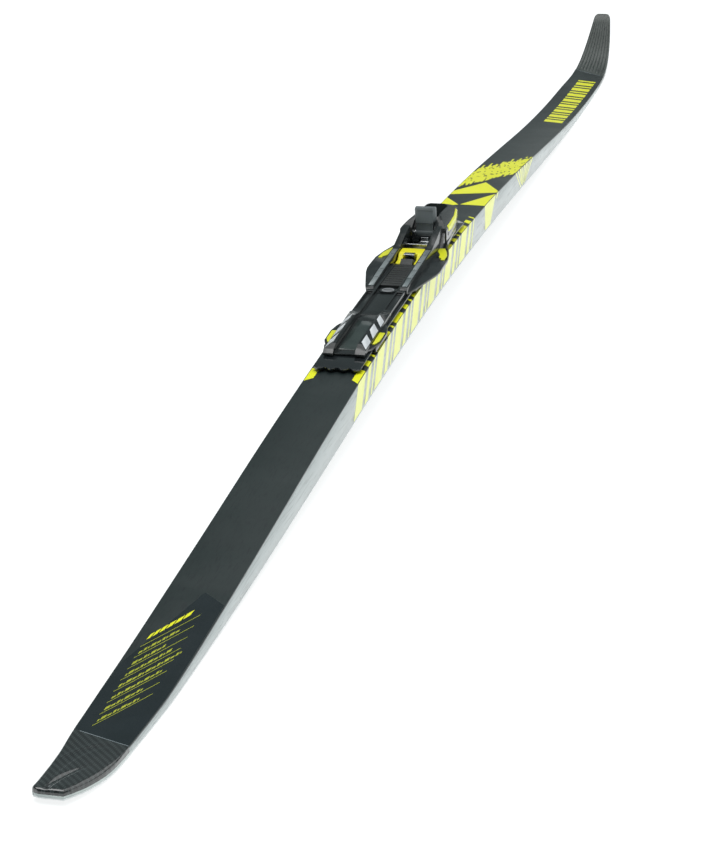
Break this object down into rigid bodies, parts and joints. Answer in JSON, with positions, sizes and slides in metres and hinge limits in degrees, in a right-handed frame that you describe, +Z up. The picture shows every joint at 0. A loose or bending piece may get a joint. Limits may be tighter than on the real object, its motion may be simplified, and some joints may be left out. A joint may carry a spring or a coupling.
{
  "type": "cross country ski",
  "caption": "Narrow cambered racing ski with turned-up tip, pale sidewalls and a step-in toe binding on a rail plate, with a folding lever that closes a steel claw.",
  "frame": {"origin": "on the floor, midway along the ski and on its centre line", "axes": "+Y towards the tip, +X to the skier's right, +Z up"},
  "size_m": [0.063, 1.91, 0.0855],
  "materials": {
    "base": "ground sintered plastic",
    "laminate": "carbon fibre laminate",
    "core": "light wood",
    "sidewall": "pale grey satin plastic",
    "topsheet": "dark satin film with printed shapes",
    "carbon": "woven carbon",
    "guard": "clear glossy cover over woven carbon",
    "tip": "dark ribbed cap",
    "plate": "glossy black",
    "steel": "bare steel",
    "black_plastic": "semi-gloss moulded",
    "silver": "silver paint",
    "grip": "fine grain",
    "flexor": "bright yellow rubber",
    "yellow": "bright yellow",
    "label": "dark tinted",
    "lever": "grey moulded",
    "lock": "grey moulded"
  },
  "bodies": {
    "ski": {"running_base": "base", "lower_laminate": "laminate", "core": "core", "left_sidewall": "sidewall", "right_sidewall": "sidewall", "upper_laminate": "laminate", "topsheet": "topsheet", "tail_block": "carbon", "tail_guard": "guard", "tip_cap": "tip", "rail_plate": "plate", "plate_screws": "steel"},
    "binding": {"front_chassis": "black_plastic", "left_rail_facing": "silver", "right_rail_facing": "silver", "deck_pad": "grip", "toe_block": "grip", "flexor": "flexor", "keeper_plate": "steel", "left_wing_insert": "yellow", "right_wing_insert": "yellow", "nose_cover": "black_plastic", "nose_trim": "yellow", "lever_pin": "steel", "detent_springs": "steel", "bridge_strip": "black_plastic", "heel_block": "black_plastic", "left_heel_insert": "yellow", "right_heel_insert": "yellow", "heel_marks": "silver", "heel_label": "label"},
    "lever": {"lever": "lever"},
    "claw": {"claw": "steel"},
    "lock_cam": {"lock_cam": "lock"}
  },
  "joints": [
    {"name": "binding_slide", "type": "slide", "parent": "ski", "child": "binding", "axis": [0, 0.9998, 0.0183], "range_m": [-0.01, 0.01]},
    {"name": "lever_hinge", "type": "hinge", "parent": "binding", "child": "lever", "pos_m": [0, -0.057, 0.06356], "axis": [-1, 0, 0], "range_deg": [0, 62]},
    {"name": "claw_slide", "type": "slide", "parent": "binding", "child": "claw", "axis": [0, -1, 0], "range_m": [0, 0.0048]},
    {"name": "lock_turn", "type": "hinge", "parent": "binding", "child": "lock_cam", "pos_m": [0, -0.196, 0.05151], "axis": [0, 0, 1], "range_deg": [0, 90]}
  ],
  "couplings": [
    {"joint": "lever_hinge", "follows": "claw_slide", "rad_per_m": 225}
  ]
}
